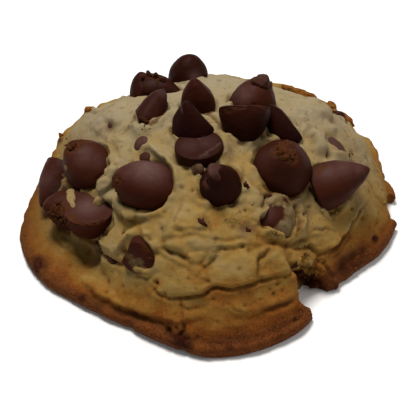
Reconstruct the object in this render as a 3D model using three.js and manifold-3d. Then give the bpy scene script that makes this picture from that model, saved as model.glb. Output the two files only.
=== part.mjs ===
// A thick chocolate chip cookie: a mound of pale, cracked dough that stands on a thin browned
// skirt, with whole chocolate chips pushed into its top and sides.
// Millimetres, +Z up. The origin is the middle of the flat base, and -Y is the front.
import * as THREE from 'three';
import { mergeVertices } from 'three/addons/utils/BufferGeometryUtils.js';
import Module from 'manifold-3d';

// Driving dimensions of the baked dough.
const POLE = { x: -0.15, y: -1.95 }; // where the ball of dough was set on the tray
const MIDDLE = { x: 0.08, y: 0.9 }; // middle of the baked outline, which becomes the origin
const RIM_RADII = [ // from the pole, every 15 degrees, anticlockwise from +X
  42.1, 41.6, 43.8, 44.8, 45.1, 44.6, 44.9, 43.8, 42.7, 43.6, 41.8, 39.6,
  41.0, 42.5, 40.8, 37.4, 36.0, 37.1, 39.2, 38.8, 37.6, 34.9, 35.5, 39.9,
];
const MOUND_REACH = [ // share of the rim radius that the mound covers, every 30 degrees
  0.96, 0.95, 0.88, 0.89, 0.89, 0.95, 0.88, 0.73, 0.93, 0.96, 0.96, 0.95,
];
const CROWN_HEIGHT = 25.5;
const SKIRT_HEIGHT = 3.2;
const SKIRT_RISE = 1.6; // how far the skirt climbs between the rim and the mound
const EDGE_SHARE = 0.03; // share of the radius taken by the rounded edge
const CLIMB_SHARE = 0.3; // share of the radius by which the skirt has climbed
const CALM_SHARES = [0.02, 0.12]; // between these, lumps and folds grow from nothing to full
const MOUND_POWER = 0.9; // above 1 the mound runs out softly into the skirt
const DOUGH_DETAIL = 15; // how often each side of the starting icosahedron is split

// Soft lumps that rose in the oven: plan place, radius and height.
const LUMPS = [
  { at: [35, 9], radius: 6.2, height: 2.2 },
  { at: [-32, 22], radius: 5.4, height: 1.4 },
  { at: [-19.8, -19.6], radius: 3.3, height: 2.2 },
  { at: [-17.5, -27.5], radius: 3.9, height: 1.2 },
  { at: [-4.5, -25], radius: 3.9, height: 0.9 },
  { at: [6.5, -27.5], radius: 4.3, height: 1.1 },
  { at: [27, -19], radius: 4.6, height: 0.9 },
  { at: [21, 15], radius: 5.4, height: 0.9 },
  { at: [-20, 12], radius: 5.4, height: 0.8 },
  { at: [4, 24], radius: 5.4, height: 0.5 },
];

// Folds in the crust: the plan line that each follows, its half width and its depth.
const FOLDS = [
  {
    line: [[-12.5, -30.6], [-6.1, -32.9], [-0.1, -33.2], [5.8, -32.4], [11.7, -30.3], [17, -27.8]],
    halfWidth: 1.3,
    depth: 1.7,
  },
  { line: [[26, -19.5], [29.2, -15.2], [31, -12.3], [32.7, -8]], halfWidth: 1.1, depth: 0.9 },
  { line: [[9.3, -29.8], [9.9, -26.9], [14.4, -23.6], [18.1, -21.3]], halfWidth: 1.0, depth: 0.8 },
  { line: [[-16, -9], [-9.5, -19.5], [-3, -20.5]], halfWidth: 1.2, depth: 0.7 },
  { line: [[14, 14], [20, 20], [22, 27]], halfWidth: 1.2, depth: 0.8 },
  { line: [[-27, 12], [-17, 19], [-13, 31]], halfWidth: 1.2, depth: 0.8 },
];

// Where the crust split at the rim and pulled apart. Each is a plan outline, cut right through.
const SPLITS = [
  [
    [16.4, -26.6], [17.9, -29.4], [18.3, -30.6], [20, -30.3], [21.2, -31.2], [22.4, -34],
    [29, -30], [27, -24.6], [26, -23.4], [24.6, -24], [22.8, -23.2], [21.1, -22.4],
    [19.4, -22.2], [18, -23.8],
  ],
  [[39.5, -6.3], [38.7, -4.7], [38.7, -0.4], [39.8, 1.2], [41.4, 1], [46, 0.6], [46, -6.5]],
];

// Half profile of a chocolate chip of unit radius and height, from the middle of its flat base
// to its tip. A fresh chip has a drawn-out tip, and a melted one has slumped to a dome.
const CHIP_HEIGHTS = [0, 0, 0.1, 0.32, 0.55, 0.75, 0.9, 1];
const FRESH_RADII = [0, 0.88, 1, 0.94, 0.74, 0.46, 0.22, 0];
const MELTED_RADII = [0, 0.88, 1, 0.98, 0.88, 0.68, 0.42, 0];
const CHIP_SIDES = 12;
const CHIP_MIDDLE = 0.4; // height share of the point that a chip is placed by
const POCKET_GAP = 0.3; // between a chip and the dough or the next chip

// Each chip: the plan place of its middle and how far that stands above the dough's surface
// (below if negative), how far its tip tilts from upright and toward which compass angle (0 is
// +X, 90 is +Y), its base diameter and height, and how far it has melted, from 0 to 1.
const CHIPS = [
  { name: 'chip_base_up', at: [-2.2, -7, -1.5], tilt: [172, 300], size: [10.2, 8], melted: 0.5 },
  { name: 'chip_bowl', at: [7, -0.4, 1.8], tilt: [132, 270], size: [10.8, 8.4], melted: 0.6 },
  { name: 'chip_right_large', at: [14.6, -9, 1.5], tilt: [18, 275], size: [12.8, 9.4], melted: 0.6 },
  { name: 'chip_left_blunt', at: [-26.6, -1.8, 1.2], tilt: [40, 150], size: [11.4, 9.6], melted: 0.8 },
  { name: 'chip_left_broken', at: [-25.4, -12.7, 0.5], tilt: [165, 90], size: [12, 9], melted: 0.7 },
  { name: 'chip_left_large', at: [-13.9, -12.3, 1.1], tilt: [55, 195], size: [11.4, 12], melted: 0.5 },
  { name: 'chip_middle_front', at: [1.8, -15.6, 1.8], tilt: [16, 255], size: [8.8, 8.4], melted: 0.3 },
  { name: 'chip_right_lying', at: [26.3, -8.5, 1.1], tilt: [74, 24], size: [9.8, 12.8], melted: 0.3 },
  { name: 'chip_crest_dome', at: [-5, 25.6, 1.9], tilt: [10, 60], size: [9.6, 8.2], melted: 0.8 },
  { name: 'chip_crest_side', at: [-11, 18.2, 0.2], tilt: [84, -22], size: [7.2, 8.8], melted: 0.5 },
  { name: 'chip_crest_crumbled', at: [-15.3, 20.3, -0.3], tilt: [40, 120], size: [7.8, 7.6], melted: 0.7 },
  { name: 'chip_rear_left', at: [-12.4, 6, 0.9], tilt: [65, 60], size: [6.8, 9.6], melted: 0.6 },
  { name: 'chip_rear_upright', at: [-2.9, 7.8, 1.9], tilt: [8, 150], size: [7.6, 8.9], melted: 0.15 },
  { name: 'chip_middle_upright', at: [-3.8, -0.1, 1.7], tilt: [16, 165], size: [10, 8.4], melted: 0.1 },
  { name: 'chip_rear_knob', at: [9.4, 9.2, 1.5], tilt: [20, 40], size: [10.4, 8.4], melted: 0.5 },
  { name: 'chip_rear_dark', at: [14.4, 2.2, 1.1], tilt: [30, 150], size: [8.4, 9], melted: 0.1 },
  { name: 'chip_left_low', at: [-31.1, -8.9, 1.3], tilt: [60, 200], size: [9.6, 8.6], melted: 0.6 },
  { name: 'chip_left_edge', at: [-34.1, -0.3, 1.4], tilt: [105, 245], size: [8.4, 10.8], melted: 0.3 },
  { name: 'chip_front_torn', at: [-14, -23.8, -0.6], tilt: [110, 70], size: [7.4, 7.6], melted: 0.5 },
  { name: 'chip_right_smeared', at: [13, -17.4, -1.5], tilt: [30, 60], size: [9.2, 7.2], melted: 0.8 },
  { name: 'chip_back_low', at: [-5.5, 34.4, 0.2], tilt: [50, 90], size: [8.6, 7.6], melted: 0.6 },
  { name: 'chip_back_left', at: [-13.5, 30.4, -0.9], tilt: [55, 115], size: [8.4, 8], melted: 0.5 },
  { name: 'chip_back_flush', at: [11, 33.6, -1.2], tilt: [50, 75], size: [6.6, 5.6], melted: 1 },
  { name: 'chip_back_right', at: [29.2, 20.6, -1.9], tilt: [50, 40], size: [5.2, 4.6], melted: 1 },
];

// Flakes of chip that break the surface only as specks, fused to the dough: their middle in
// plan, half length and half width, and the compass angle of the long side.
const FLAKES = [
  { at: [-14.5, -1.9], half: [1.7, 1.2], along: 10 },
  { at: [-13.1, -5.7], half: [1.5, 0.9], along: -60 },
  { at: [-21.6, 6.9], half: [1.3, 0.6], along: -45 },
  { at: [-20.3, -21.9], half: [2.4, 0.8], along: -35 },
  { at: [-18.2, -18.1], half: [0.8, 0.5], along: 60 },
  { at: [-1.7, -21.9], half: [1.5, 0.7], along: -30 },
  { at: [7.4, -22.9], half: [1.1, 0.7], along: 30 },
  { at: [7.5, -14.3], half: [1, 0.5], along: -45 },
  { at: [27.6, 4.4], half: [3, 0.9], along: -50 },
  { at: [29.5, -19.8], half: [2.6, 1.1], along: 40 },
  { at: [-36.4, -19.2], half: [1.6, 1.3], along: 60 },
];
const FLAKE_RISE = 0.6; // how far a flake stands out of the dough

const DOUGH_COLOR = 0xb89a5c;
const DOUGH_ROUGHNESS = 0.85;
const CHIP_COLOR = 0x3a221b;
const CHIP_ROUGHNESS = 0.45;

const WELD = 1e-4; // corners closer than this are one
const TAU = 2 * Math.PI;
const degrees = THREE.MathUtils.degToRad;
const wasm = await Module();
wasm.setup();

// A smooth value round the cookie from the evenly spaced entries of a list.
function around(list, angle) {
  const n = list.length;
  const place = ((((angle / TAU) % 1) + 1) % 1) * n;
  const i = Math.floor(place) % n;
  const t = place - Math.floor(place);
  const [a, b, c, d] = [-1, 0, 1, 2].map((k) => list[(i + k + n) % n]);
  return b + 0.5 * t * (c - a + t * (2 * a - 5 * b + 4 * c - d + t * (3 * (b - c) + d - a)));
}

// Distance in plan from a point to a line of straight runs.
function distanceToLine(x, y, line) {
  let nearest = Infinity;
  for (let i = 1; i < line.length; i += 1) {
    const [ax, ay] = line[i - 1];
    const [bx, by] = line[i];
    const run = (bx - ax) ** 2 + (by - ay) ** 2;
    const t = THREE.MathUtils.clamp(((x - ax) * (bx - ax) + (y - ay) * (by - ay)) / run, 0, 1);
    nearest = Math.min(nearest, Math.hypot(x - ax - t * (bx - ax), y - ay - t * (by - ay)));
  }
  return nearest;
}

// Height of the dough's top surface, with its lumps and folds.
function topHeight(x, y) {
  const angle = Math.atan2(y - POLE.y, x - POLE.x);
  const share = Math.hypot(x - POLE.x, y - POLE.y) / around(RIM_RADII, angle);
  const reach = around(MOUND_REACH, angle);
  const inward = THREE.MathUtils.smoothstep(1 - share, EDGE_SHARE, CLIMB_SHARE);
  const mound = Math.max(0, 1 - (share / reach) ** 2) ** MOUND_POWER;
  let height = SKIRT_HEIGHT + SKIRT_RISE * inward;
  height += (CROWN_HEIGHT - SKIRT_HEIGHT - SKIRT_RISE) * mound;
  const settled = THREE.MathUtils.smoothstep(1 - share, ...CALM_SHARES);
  for (const { at, radius, height: rise } of LUMPS) {
    height += settled * rise * Math.exp(-((x - at[0]) ** 2 + (y - at[1]) ** 2) / radius ** 2);
  }
  for (const { line, halfWidth, depth } of FOLDS) {
    height -= settled * depth * Math.exp(-((distanceToLine(x, y, line) / halfWidth) ** 2));
  }
  return height;
}

// The closed skin of the dough, shaped from a sphere of even triangles: its cap becomes the
// top, a narrow band the rounded edge, and the rest the flat base.
function doughGeometry() {
  const topBand = -0.42; // height on the unit sphere where the top ends
  const baseBand = -0.6; // and where the base starts
  const ball = new THREE.IcosahedronGeometry(1, DOUGH_DETAIL);
  const point = ball.getAttribute('position');
  for (let i = 0; i < point.count; i += 1) {
    const up = point.getZ(i);
    const angle = Math.atan2(point.getY(i), point.getX(i));
    const rim = around(RIM_RADII, angle);
    const inner = rim * (1 - EDGE_SHARE);
    const turn = Math.PI * THREE.MathUtils.clamp((topBand - up) / (topBand - baseBand), 0, 1);
    let radius = inner + (rim - inner) * Math.sin(turn);
    if (up > topBand) radius = inner * Math.sqrt((1 - up) / (1 - topBand));
    if (up < baseBand) radius = inner * Math.sqrt((1 + up) / (1 + baseBand));
    const x = POLE.x + radius * Math.cos(angle);
    const y = POLE.y + radius * Math.sin(angle);
    const edge = SKIRT_HEIGHT * (0.5 + 0.5 * Math.cos(turn));
    point.setXYZ(i, x, y, up > topBand ? topHeight(x, y) : edge);
  }
  return ball;
}

// A chip set at its place and lean in the dough. grow swells it evenly, to make its pocket.
function chipGeometry({ at, tilt, size, melted }, grow) {
  const [x, y, lift] = at;
  const [wide, tall] = size;
  const [lean, toward] = tilt;
  const radius = wide / 2 + grow;
  const profile = CHIP_HEIGHTS.map((share, i) => new THREE.Vector2(
    radius * THREE.MathUtils.lerp(FRESH_RADII[i], MELTED_RADII[i], melted),
    share * (tall + 2 * grow) - grow,
  ));
  const chip = new THREE.LatheGeometry(profile, CHIP_SIDES);
  chip.rotateX(Math.PI / 2);
  chip.translate(0, 0, -CHIP_MIDDLE * tall);
  const axis = new THREE.Vector3(-Math.sin(degrees(toward)), Math.cos(degrees(toward)), 0);
  chip.applyQuaternion(new THREE.Quaternion().setFromAxisAngle(axis, degrees(lean)));
  return chip.translate(x, y, topHeight(x, y) + lift);
}

// A flake lying flat on the dough.
function flakeGeometry({ at, half, along }) {
  const flake = new THREE.IcosahedronGeometry(1, 1);
  flake.scale(half[0], half[1], 2 * FLAKE_RISE);
  flake.rotateZ(degrees(along));
  return flake.translate(at[0], at[1], topHeight(at[0], at[1]) - FLAKE_RISE);
}

// A prism that cuts a split right through the dough.
function splitGeometry(outline) {
  const shape = new THREE.Shape(outline.map(([x, y]) => new THREE.Vector2(x, y)));
  const prism = new THREE.ExtrudeGeometry(shape, { depth: 2 * CROWN_HEIGHT, bevelEnabled: false });
  return prism.translate(0, 0, -CROWN_HEIGHT / 2);
}

// A closed geometry as a solid for joining and cutting.
function toSolid(geometry) {
  const bare = geometry.clone();
  bare.deleteAttribute('normal');
  bare.deleteAttribute('uv');
  const merged = mergeVertices(bare, WELD);
  const corners = merged.index.array;
  const kept = [];
  for (let i = 0; i < corners.length; i += 3) {
    const [a, b, c] = corners.slice(i, i + 3);
    if (a !== b && b !== c && c !== a) kept.push(a, b, c);
  }
  const vertProperties = new Float32Array(merged.getAttribute('position').array);
  const triVerts = new Uint32Array(kept);
  return new wasm.Manifold(new wasm.Mesh({ numProp: 3, vertProperties, triVerts }));
}

// The mesh of a solid, with its own colour and finish.
function toMesh(solid, name, color, roughness) {
  const { vertProperties, triVerts } = solid.getMesh();
  const geometry = new THREE.BufferGeometry();
  geometry.setAttribute('position', new THREE.BufferAttribute(vertProperties, 3));
  geometry.setIndex(new THREE.BufferAttribute(triVerts, 1));
  geometry.computeVertexNormals();
  const mesh = new THREE.Mesh(geometry, new THREE.MeshStandardMaterial({ color, roughness }));
  mesh.name = name;
  return mesh;
}

const cookie = new THREE.Group();
cookie.name = 'chocolate_chip_cookie';

let dough = toSolid(doughGeometry());
for (const outline of SPLITS) dough = dough.subtract(toSolid(splitGeometry(outline)));
for (const flake of FLAKES) dough = dough.add(toSolid(flakeGeometry(flake)));

const pockets = [];
for (const chip of CHIPS) {
  let solid = toSolid(chipGeometry(chip, 0));
  for (const pocket of pockets) solid = solid.subtract(pocket);
  const pocket = toSolid(chipGeometry(chip, POCKET_GAP));
  dough = dough.subtract(pocket);
  pockets.push(pocket);
  cookie.add(toMesh(solid, chip.name, CHIP_COLOR, CHIP_ROUGHNESS));
}
cookie.add(toMesh(dough, 'dough', DOUGH_COLOR, DOUGH_ROUGHNESS));
cookie.position.set(-MIDDLE.x, -MIDDLE.y, 0);

export default cookie;
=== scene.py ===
# A thick chocolate chip cookie: pale cracked dough on a browned rim, with whole chips of dark
# chocolate standing in it. Metres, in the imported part's frame: +Z up and the front towards -Y.
import math

import bpy
import numpy as np
from mathutils import Matrix, Vector, noise
from mathutils.bvhtree import BVHTree


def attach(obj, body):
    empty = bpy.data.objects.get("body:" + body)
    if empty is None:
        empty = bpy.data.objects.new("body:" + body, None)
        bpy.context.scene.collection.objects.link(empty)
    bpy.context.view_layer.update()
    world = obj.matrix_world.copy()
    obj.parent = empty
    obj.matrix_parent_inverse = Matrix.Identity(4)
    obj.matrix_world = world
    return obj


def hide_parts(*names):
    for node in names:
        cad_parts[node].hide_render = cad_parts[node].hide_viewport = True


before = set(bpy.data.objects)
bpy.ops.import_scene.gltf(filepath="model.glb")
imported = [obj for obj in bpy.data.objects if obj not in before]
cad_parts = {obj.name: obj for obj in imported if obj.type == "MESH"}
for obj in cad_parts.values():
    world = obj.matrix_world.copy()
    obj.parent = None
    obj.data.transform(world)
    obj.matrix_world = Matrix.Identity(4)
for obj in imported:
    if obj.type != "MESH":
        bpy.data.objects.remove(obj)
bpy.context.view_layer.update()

# The studio: a camera that looks down on the front of the cookie, a pale floor, a soft lamp above
# it and a little behind, a weaker one on the right, and an even fill.
MM = 0.001
IMAGE_SIZE = 420
SENSOR = 36
FOCAL_PIXELS = 1068
CAMERA_TILT = math.radians(48)
CAMERA_DISTANCE = 240 * MM
CAMERA_TARGET = Vector((-0.23, -1.65, 0)) * MM
FLOOR_SIZE = 6
FLOOR_COLOR = (0.93, 0.93, 0.92, 1)
FLOOR_ROUGHNESS = 0.9
FILL_COLOR = (0.95, 0.97, 1, 1)
FILL_STRENGTH = 0.22
LAMPS = {  # name: place, side, watts, colour
    "lamp_above": ((-0.08, 0.13, 0.53), 0.17, 3.25, (1, 0.98, 0.95)),
    "lamp_right": ((0.4, -0.05, 0.4), 0.3, 0.5, (1, 0.97, 0.93)),
}

look = Vector((0, math.cos(CAMERA_TILT), -math.sin(CAMERA_TILT)))
rise = Vector((0, math.sin(CAMERA_TILT), math.cos(CAMERA_TILT)))
eye = CAMERA_TARGET - CAMERA_DISTANCE * look
bpy.ops.object.select_all(action="DESELECT")
bpy.ops.object.camera_add(location=eye, rotation=(math.pi / 2 - CAMERA_TILT, 0, 0))
camera = bpy.context.object
camera.name = "camera"
camera.data.sensor_width = SENSOR
camera.data.lens = FOCAL_PIXELS / IMAGE_SIZE * SENSOR
camera.data.clip_start = 10 * MM
bpy.context.scene.camera = camera
bpy.context.scene.view_settings.view_transform = "Standard"

bpy.ops.mesh.primitive_plane_add(size=FLOOR_SIZE)
floor = bpy.context.object
floor.name = "floor"
floor_material = bpy.data.materials.new("floor_paper")
floor_material.use_nodes = True
paper = floor_material.node_tree.nodes["Principled BSDF"]
paper.inputs["Base Color"].default_value = FLOOR_COLOR
paper.inputs["Roughness"].default_value = FLOOR_ROUGHNESS
floor.data.materials.append(floor_material)

world = bpy.data.worlds.new("studio")
world.use_nodes = True
world.node_tree.nodes["Background"].inputs["Color"].default_value = FILL_COLOR
world.node_tree.nodes["Background"].inputs["Strength"].default_value = FILL_STRENGTH
bpy.context.scene.world = world
for name, (place, side, watts, color) in LAMPS.items():
    aim = (-Vector(place)).to_track_quat("-Z", "Y").to_euler()
    bpy.ops.object.light_add(type="AREA", location=place, rotation=aim)
    lamp = bpy.context.object
    lamp.name = name
    lamp.data.size = side
    lamp.data.energy = watts
    lamp.data.color = color

# The dough: a ball of soft dough that slumped on the tray into a thin skirt, rose to a mound, and
# cracked. It is baked in one piece, pale on top, golden down the front and browned at the rim.
MIDDLE = np.array([0.08, 0.9, 0])  # millimetres from the tray mark to the middle of the base
POLE = np.array([-0.15, -1.95])  # where the ball was set, from the tray mark
RIM_RADII = np.array([  # millimetres from the pole, every 15 degrees, anticlockwise from +X
    42.1, 41.6, 43.8, 44.8, 45.1, 44.6, 44.9, 43.8, 42.7, 43.6, 41.8, 39.6,
    41.0, 42.5, 40.8, 37.4, 36.0, 37.1, 39.2, 38.8, 37.6, 34.9, 35.5, 39.9])
MOUND_REACH = np.array([  # share of the rim radius that the mound covers, every 30 degrees
    0.96, 0.95, 0.88, 0.89, 0.89, 0.95, 0.88, 0.73, 0.93, 0.96, 0.96, 0.95])
CROWN_HEIGHT = 25.5
SKIRT_HEIGHT = 3.2
SKIRT_RISE = 1.6
EDGE_SHARE = 0.03  # share of the rim radius over which the edge rounds off
CLIMB_SHARE = 0.3  # share over which the skirt rises
CALM_SHARES = (0.02, 0.12)  # shares from where the edge has no lumps to where they are whole
MOUND_POWER = 0.9
TOP_BAND = -0.42  # level on the ball that becomes the top's edge, and the underside's
BASE_BAND = -0.6
LUMPS = [  # plan place, radius, height
    (35, 9, 6.2, 2.2), (-32, 22, 5.4, 1.4), (-19.8, -19.6, 3.3, 2.2), (-17.5, -27.5, 3.9, 1.2),
    (-4.5, -25, 3.9, 0.9), (6.5, -27.5, 4.3, 1.1), (27, -19, 4.6, 0.9), (21, 15, 5.4, 0.9),
    (-20, 12, 5.4, 0.8), (4, 24, 5.4, 0.5)]
SPLITS = [  # plan outlines where the rim split and pulled apart
    [(16.4, -26.6), (17.9, -29.4), (18.3, -30.6), (20, -30.3), (21.2, -31.2), (22.4, -34),
     (29, -30), (27, -24.6), (26, -23.4), (24.6, -24), (22.8, -23.2), (21.1, -22.4),
     (19.4, -22.2), (18, -23.8)],
    [(39.5, -6.3), (38.7, -4.7), (38.7, -0.4), (39.8, 1.2), (41.4, 1), (46, 0.6), (46, -6.5)]]
RIM_NICKS = [  # compass angle, half width in degrees, depth of a bite out of the rim
    (36, 5, 1.3), (53, 1.2, 0.5), (60, 1.5, 0.4), (68, 1.5, 0.5), (78, 4, 0.5), (118, 3, 0.5),
    (140, 4, 0.4), (152, 2, 0.5), (12, 1.5, 0.8), (16, 2, 0.5), (21, 1.5, 0.4), (196, 3, 0.3),
    (243, 1.5, 0.4), (262, 1.5, 0.3), (-36, 2, 0.5)]
DOUGH_VOXEL = 0.35 * MM
DOUGH_SUBDIVISIONS = 7
BASE_FACING = -0.999  # the most that the underside's faces lean, as the height of their normals
BASE_DEPTH = 0.05 * MM
BASE_KEPT = 0.02  # share of the underside's faces
# Cracks and folds traced on the photograph, in its pixels, each with its half width and depth in
# millimetres.
CRACKS = [
    (0.42, 1.0, [(152, 288), (159, 295), (168, 298), (180, 298), (191, 297), (202, 294), (210, 290),
                (217, 288), (230, 289), (242, 288), (250, 286), (258, 283), (271, 279), (282, 276),
                (292, 273)]),
    (0.35, 0.5, [(180, 298), (181, 313), (184, 327)]),
    (0.45, 0.7, [(260, 254), (259, 264), (258, 275), (258, 281)]),
    (0.45, 0.6, [(276, 249), (268, 252), (262, 257), (259, 263)]),
    (0.5, 0.8, [(165, 250), (171, 253), (178, 252), (184, 258), (189, 260)]),
    (0.4, 0.5, [(222, 246), (215, 258), (205, 268), (199, 276)]),
    (0.4, 0.4, [(205, 256), (201, 264), (207, 271), (209, 281)]),
    (0.55, 0.7, [(262, 312), (273, 309), (284, 305), (294, 300)]),
    (0.35, 0.3, [(228, 303), (237, 311), (246, 314), (255, 312)]),
    (0.4, 0.4, [(181, 308), (190, 310), (199, 309), (206, 306)]),
    (0.45, 1.0, [(184, 324), (183, 333), (178, 338)]),
    (0.4, 0.8, [(167, 329), (169, 334), (173, 338)]),
    (0.8, 1.0, [(84, 286), (91, 295), (98, 301), (110, 306), (122, 312), (135, 316), (148, 320),
                (163, 326), (174, 330)]),
    (0.5, 0.9, [(103, 255), (112, 261), (124, 266)]),
    (0.4, 0.6, [(126, 270), (135, 277), (146, 279), (153, 276)]),
    (0.9, 1.6, [(103, 236), (101, 246), (100, 256), (99, 264)]),
    (0.35, 0.6, [(157, 280), (156, 288), (153, 292)]),
    (0.35, 0.5, [(211, 209), (205, 216), (207, 223), (211, 231), (215, 238)]),
    (0.45, 0.4, [(183, 198), (180, 209), (177, 222)]),
    (0.5, 0.5, [(150, 214), (158, 206), (167, 199), (173, 192)]),
    (0.45, 0.6, [(160, 243), (170, 240), (183, 237), (196, 236), (208, 241)]),
    (0.4, 0.5, [(211, 239), (226, 241), (242, 239), (258, 245)]),
    (0.5, 0.8, [(258, 245), (266, 244), (275, 243), (289, 245), (299, 241), (313, 238)]),
    (0.4, 0.5, [(265, 232), (269, 239), (275, 246)]),
    (0.42, 1.2, [(366, 204), (359, 213), (355, 221), (349, 231), (344, 238), (340, 243), (331, 251),
                (321, 254)]),
    (0.4, 0.7, [(289, 247), (297, 249), (309, 248), (319, 254), (320, 258)]),
    (0.35, 0.4, [(308, 236), (314, 231), (325, 229), (334, 232)]),
    (0.8, 1.5, [(288, 261), (292, 268), (297, 274), (304, 281)]),
    (0.5, 0.9, [(311, 267), (315, 262), (319, 257)]),
    (0.4, 0.7, [(322, 261), (326, 266), (329, 272), (334, 277)]),
    (0.5, 0.8, [(299, 266), (304, 268), (311, 268)]),
    (0.6, 0.6, [(311, 112), (319, 118), (327, 121), (337, 124)]),
    (0.5, 0.5, [(296, 120), (304, 127), (305, 137), (312, 146)]),
    (0.5, 0.5, [(126, 216), (136, 222), (149, 220), (160, 215)]),
    (0.5, 0.6, [(88, 113), (95, 113), (104, 109)]),
    (0.4, 0.4, [(100, 136), (108, 143), (117, 150), (121, 158)]),
    (0.4, 0.4, [(118, 137), (127, 133), (134, 131)]),
    (0.5, 0.5, [(168, 178), (174, 186), (176, 195)]),
    (0.4, 0.4, [(242, 168), (247, 178), (253, 187), (262, 194)]),
    (0.35, 0.4, [(333, 258), (341, 250), (349, 241), (352, 233)]),
    (0.4, 0.4, [(365, 178), (372, 187), (376, 197), (384, 205)]),
    (0.4, 0.4, [(48, 232), (58, 243), (72, 252), (88, 257)]),
]
# Places where the dough above slid over the dough below: half width, step and pixels.
SHELVES = [
    (1.2, 0.45, [(155, 292), (168, 298), (180, 298), (202, 294), (217, 288), (242, 288), (258, 283),
                (271, 279), (292, 273)]),
    (0.5, 0.6, [(166, 249), (173, 251), (180, 253), (185, 259), (191, 262)]),
    (0.6, 0.35, [(160, 254), (169, 258), (178, 264), (190, 270), (200, 276), (212, 284)]),
    (0.6, 0.5, [(206, 266), (209, 258), (214, 252), (220, 248), (231, 247), (242, 245), (256, 246),
                (268, 246)]),
    (0.5, 0.4, [(269, 247), (263, 252), (259, 258), (259, 266), (257, 276)]),
    (0.9, 1.5, [(106, 234), (103, 240), (101, 250), (99, 260), (97, 267)]),
    (0.6, 0.6, [(83, 281), (90, 289), (98, 296), (110, 303), (124, 309), (140, 315)]),
    (0.5, 0.5, [(290, 242), (300, 243), (309, 247), (319, 254), (320, 261)]),
    (0.6, 0.6, [(366, 207), (356, 222), (346, 234), (340, 242), (330, 251)]),
    (0.5, 0.5, [(166, 231), (176, 230), (190, 228), (206, 230), (214, 239)]),
    (0.5, 0.4, [(226, 311), (238, 316), (250, 316), (262, 312), (276, 306), (290, 298)]),
    (0.5, 0.4, [(160, 318), (172, 322), (184, 322), (198, 318)]),
]
# Webs and rolls of dough that stand up between the chips: half width, height and pixels.
RIDGES = [
    (0.8, 1.7, [(143, 147), (152, 148), (161, 154), (170, 162), (176, 172), (180, 183)]),
    (0.8, 1.5, [(113, 170), (108, 180), (106, 188), (103, 196)]),
    (0.9, 1.5, [(106, 190), (112, 199), (118, 208), (126, 214), (137, 217), (149, 217), (160, 212)]),
    (1.2, 1.2, [(120, 158), (117, 167), (108, 175), (101, 181)]),
    (1.3, 2.2, [(131, 126), (139, 133), (149, 132), (156, 125), (164, 119), (171, 112)]),
    (1.0, 0.8, [(118, 133), (120, 140), (127, 142)]),
    (1.3, 1.0, [(298, 110), (310, 114), (322, 121)]),
    (1.5, 1.4, [(306, 126), (311, 137), (317, 149)]),
    (1.2, 1.1, [(316, 152), (330, 156), (345, 157)]),
    (1.1, 1.0, [(324, 130), (336, 131), (347, 140), (353, 148)]),
    (1.3, 1.3, [(250, 186), (256, 196), (251, 206)]),
    (0.5, 1.9, [(255, 223), (261, 214), (270, 205), (281, 198)]),
    (1.3, 2.4, [(292, 236), (298, 227), (300, 216)]),
    (1.2, 1.0, [(290, 198), (299, 204), (303, 216)]),
    (0.9, 1.6, [(262, 234), (272, 236), (282, 236)]),
    (0.8, 1.6, [(118, 251), (124, 242), (132, 233)]),
    (0.8, 1.3, [(143, 232), (150, 241), (156, 251)]),
    (1.3, 1.4, [(131, 268), (140, 268), (148, 275)]),
    (1.4, 1.0, [(108, 236), (112, 246), (118, 256)]),
    (0.6, 1.2, [(86, 112), (89, 109), (96, 109)]),
    (1.0, 0.8, [(222, 172), (232, 176), (240, 168)]),
    (0.9, 0.9, [(192, 172), (199, 168), (204, 173)]),
    (1.0, 0.8, [(208, 133), (222, 134), (232, 140)]),
    (0.9, 0.9, [(64, 176), (74, 186), (86, 188)]),
]
# Plates of crust between the cracks and broad swellings, flat on top: half width, height, pixels.
PLATES = [
    (2.3, 0.8, [(175, 239), (190, 238), (205, 243)]),
    (2.8, 0.6, [(170, 268), (175, 281), (192, 284)]),
    (3.3, 0.5, [(228, 262), (243, 264)]),
    (1.0, 0.5, [(193, 259), (201, 257)]),
    (2.0, 0.7, [(184, 215), (196, 219)]),
    (3.0, 1.5, [(316, 108), (320, 111)]),
    (1.8, 1.1, [(306, 126), (308, 130)]),
    (2.0, 1.3, [(314, 142), (318, 146)]),
    (1.6, 0.9, [(296, 114), (299, 118)]),
    (1.6, 0.9, [(334, 160), (344, 160)]),
    (1.5, 0.8, [(354, 143), (360, 150)]),
    (2.0, 0.8, [(112, 116), (120, 120)]),
    (1.6, 0.7, [(96, 124), (102, 128)]),
    (1.5, 0.8, [(232, 84), (238, 88)]),
    (1.8, 0.8, [(170, 228), (176, 222)]),
    (2.4, 0.7, [(320, 228), (329, 240)]),
    (2.0, 0.6, [(350, 165), (362, 160)]),
    (1.6, 0.6, [(274, 257), (284, 268)]),
    (1.3, 0.7, [(306, 259), (311, 262)]),
    (1.5, 0.6, [(230, 215), (243, 220)]),
    (2.0, -0.9, [(84, 250), (90, 258)]),
    (1.3, -0.9, [(93, 107), (102, 106)]),
    (1.7, -1.0, [(332, 140), (339, 147)]),
    (1.2, -0.8, [(262, 236), (271, 240)]),
    (1.2, -0.6, [(222, 214), (216, 206)]),
]
# Cracks on the side that the photograph hides, as plan lines in millimetres.
HIDDEN_CRACKS = [
    (0.6, 0.9, [(-27, 12), (-22, 17), (-17, 19), (-14, 25), (-13, 31)]),
    (0.6, 0.9, [(-22, 37), (-10, 39.5), (0, 39.5), (10, 38.5), (20, 35.5)]),
    (0.5, 0.7, [(-35, 8), (-33, 15), (-28, 23), (-24, 28)]),
    (0.5, 0.6, [(2, 30), (5, 34), (3, 38)]),
    (0.5, 0.6, [(14, 27), (18, 31), (17, 36)]),
    (0.4, 0.6, [(-20, 27), (-18, 32), (-21, 35)]),
]
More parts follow.
